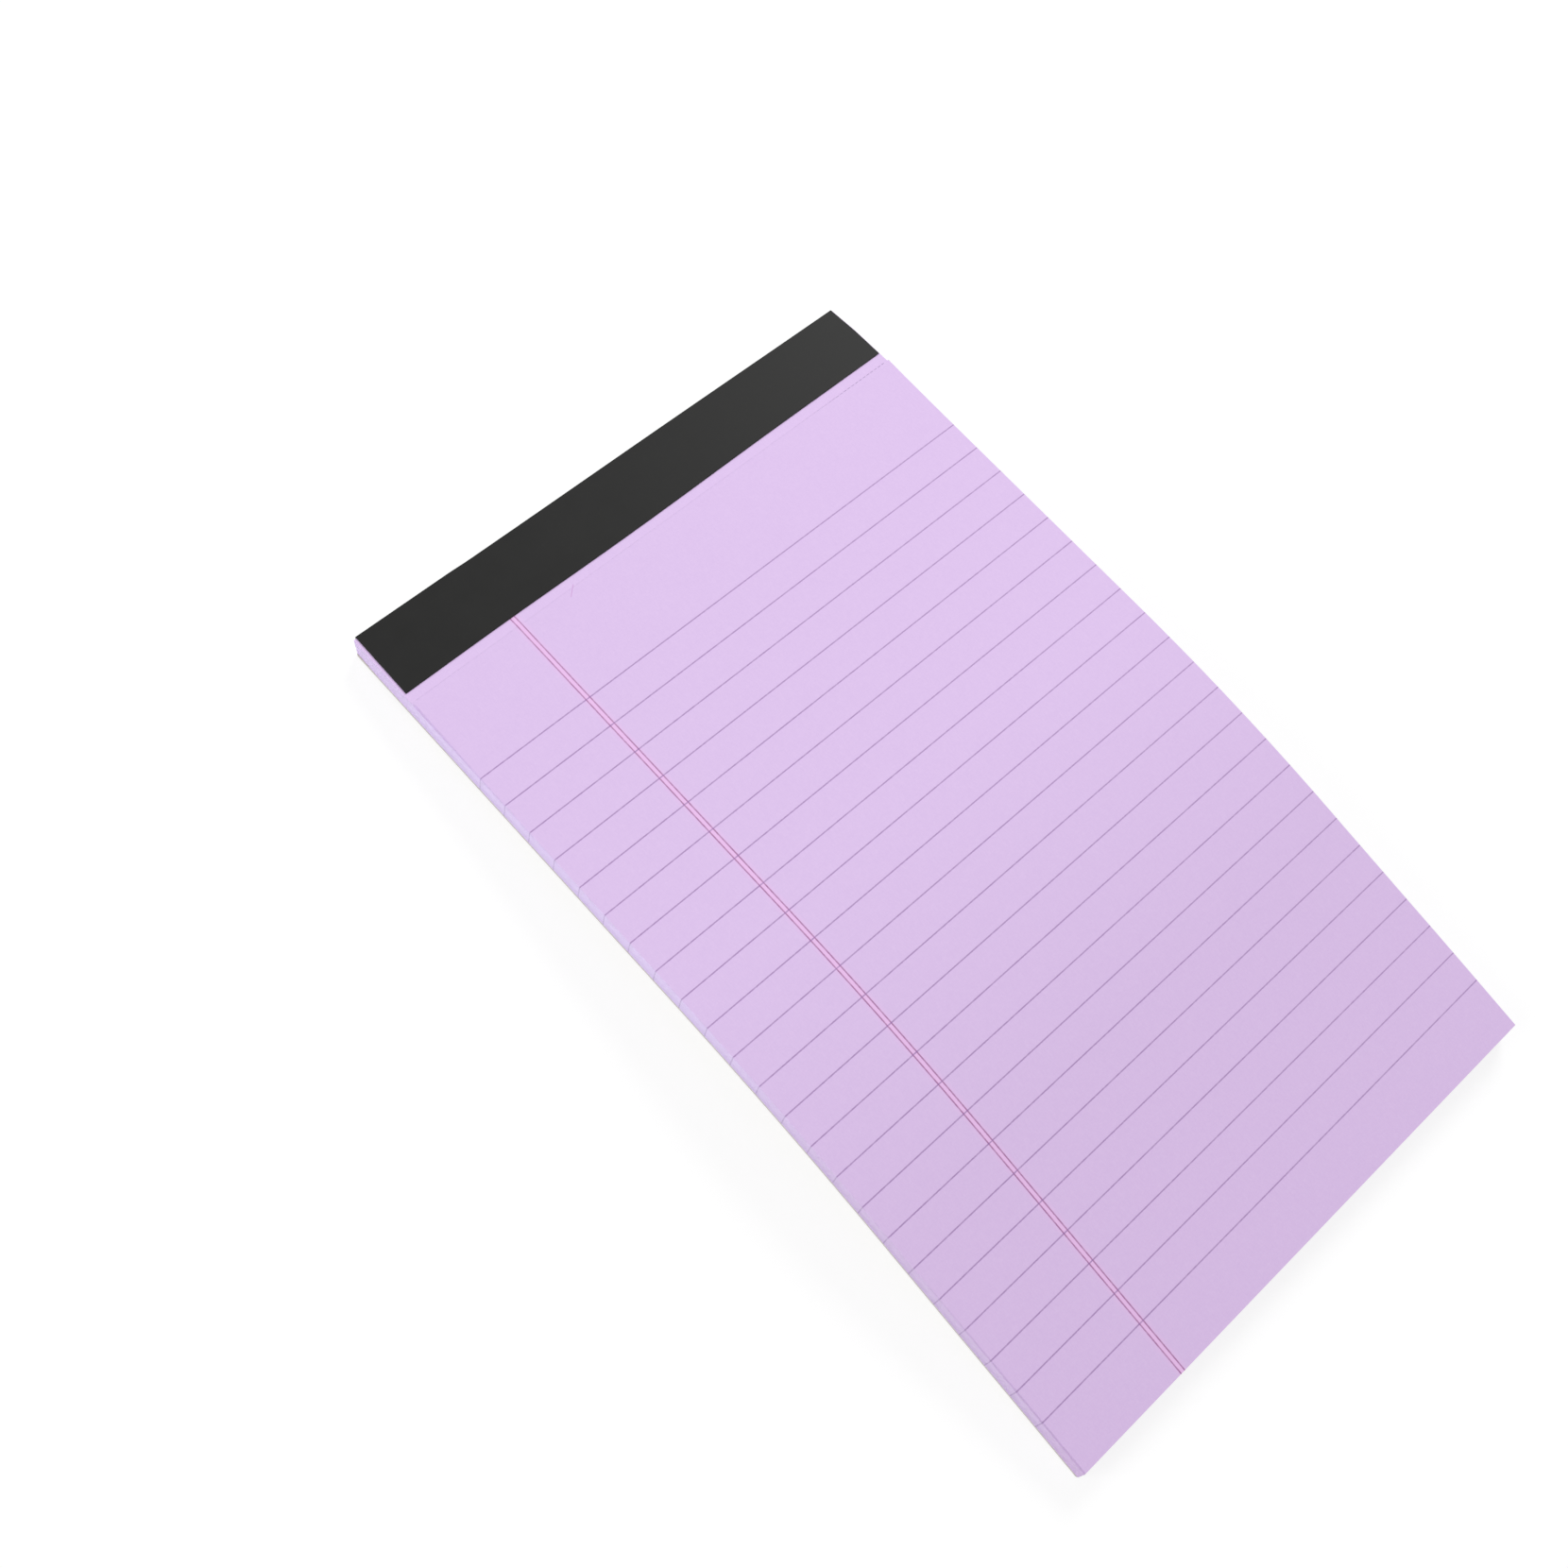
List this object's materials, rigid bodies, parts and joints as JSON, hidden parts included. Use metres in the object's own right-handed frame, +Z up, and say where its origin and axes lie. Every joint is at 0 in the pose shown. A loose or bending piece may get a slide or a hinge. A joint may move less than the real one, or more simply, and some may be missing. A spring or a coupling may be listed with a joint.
{
  "type": "legal pad",
  "caption": "Junior legal pad of ruled lilac sheets on a chipboard back, perforated and taped at the head, with a slight bow.",
  "frame": {"origin": "on the ground, in the middle of the pad's width and halfway between its head and its foot", "axes": "+X across the pad to the right of the writing, +Y from the foot to the head, +Z up"},
  "size_m": [0.127, 0.2032, 0.0124],
  "materials": {
    "ruled_paper": "matte",
    "chipboard": "matte",
    "binding_tape": "satin",
    "staple_wire": "galvanised"
  },
  "bodies": {
    "root": {"page_block": "ruled_paper", "backing_board": "chipboard", "binding_tape": "binding_tape", "staples": "staple_wire"}
  },
  "joints": []
}
